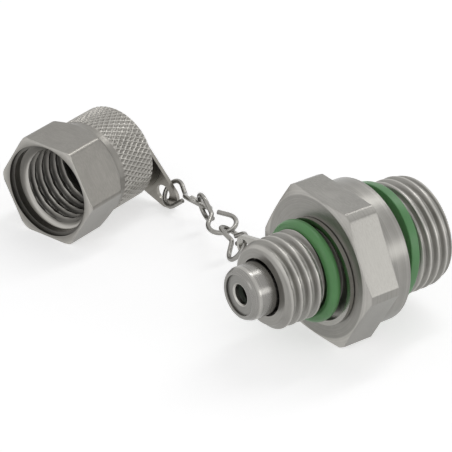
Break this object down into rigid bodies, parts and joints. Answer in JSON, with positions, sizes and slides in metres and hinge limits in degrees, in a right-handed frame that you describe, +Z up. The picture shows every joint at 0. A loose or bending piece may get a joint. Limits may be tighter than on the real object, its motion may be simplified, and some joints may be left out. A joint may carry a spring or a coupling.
{
  "type": "test point coupling",
  "caption": "Screw-in hydraulic test point coupling with a spring-loaded valve and a knurled protective cap held by a short wire chain.",
  "frame": {"origin": "on the fitting's axis, at the sealing face of the flange behind the hexagon", "axes": "+X along the fitting's axis from the nose to the stud, +Y towards the cap, +Z up with a flat of the hexagon at the bottom"},
  "size_m": [0.0451, 0.0842, 0.0268],
  "materials": {
    "stainless_satin": "satin turned stainless steel",
    "stainless_polished": "bright turned stainless steel",
    "stainless_inner": "turned stainless steel",
    "seal_green": "green fluoro rubber, matt",
    "seal_dark": "dark rubber, matt",
    "spring_wire": "drawn spring wire",
    "plate_steel": "stamped sheet steel, satin",
    "chain_wire": "drawn wire",
    "cap_satin": "satin turned stainless steel"
  },
  "bodies": {
    "fitting": {"coupling_body": "stainless_satin", "valve_insert": "stainless_polished", "nose_disc": "stainless_polished", "probe_seal": "seal_green", "valve_spring": "spring_wire", "spring_seat": "stainless_inner", "retaining_ring": "spring_wire", "insert_seal": "seal_green", "port_seal": "seal_green", "dust_ring": "seal_green"},
    "valve": {"valve_pin": "stainless_inner", "pin_seal": "seal_green"},
    "ring": {"chain_ring": "plate_steel"},
    "ring_link": {"chain_link_ring_end": "chain_wire"},
    "middle_link": {"chain_link_middle": "chain_wire"},
    "cap_link": {"chain_link_cap_end": "chain_wire"},
    "lug": {"cap_lug": "plate_steel"},
    "cap": {"cap_body": "cap_satin", "cap_seal": "seal_dark", "cap_rivet": "cap_satin"}
  },
  "joints": [
    {"name": "valve_slide", "type": "slide", "parent": "fitting", "child": "valve", "axis": [1, 0, 0], "range_m": [0, 0.0022], "stiffness_N_per_m": 1500, "springref_m": -0.002, "deforming": ["valve_spring"]},
    {"name": "ring_turn", "type": "hinge", "parent": "fitting", "child": "ring", "pos_m": [-0.01105, 0, 0], "axis": [1, 0, 0], "continuous": true},
    {"name": "ring_link_swing", "type": "hinge", "parent": "ring", "child": "ring_link", "pos_m": [-0.0113, 0.01961, -0.00498], "axis": [0, -0.2264, -0.974], "range_deg": [-10, 12]},
    {"name": "middle_link_swing", "type": "hinge", "parent": "ring_link", "child": "middle_link", "pos_m": [-0.0073, 0.03023, -0.00759], "axis": [-0.8218, 0.0634, 0.5662], "range_deg": [-30, 30]},
    {"name": "cap_link_swing", "type": "hinge", "parent": "middle_link", "child": "cap_link", "pos_m": [-0.0052, 0.04098, -0.00819], "axis": [-0.1297, 0.2841, 0.95], "range_deg": [-30, 30]},
    {"name": "lug_swing", "type": "hinge", "parent": "cap_link", "child": "lug", "pos_m": [-0.00553, 0.05165, -0.01054], "axis": [0.5572, 0.3225, 0.7652], "range_deg": [-15, 12]},
    {"name": "cap_turn", "type": "hinge", "parent": "lug", "child": "cap", "pos_m": [-0.01064, 0.06045, -0.00385], "axis": [0.9633, 0.2684, 0], "continuous": true}
  ]
}
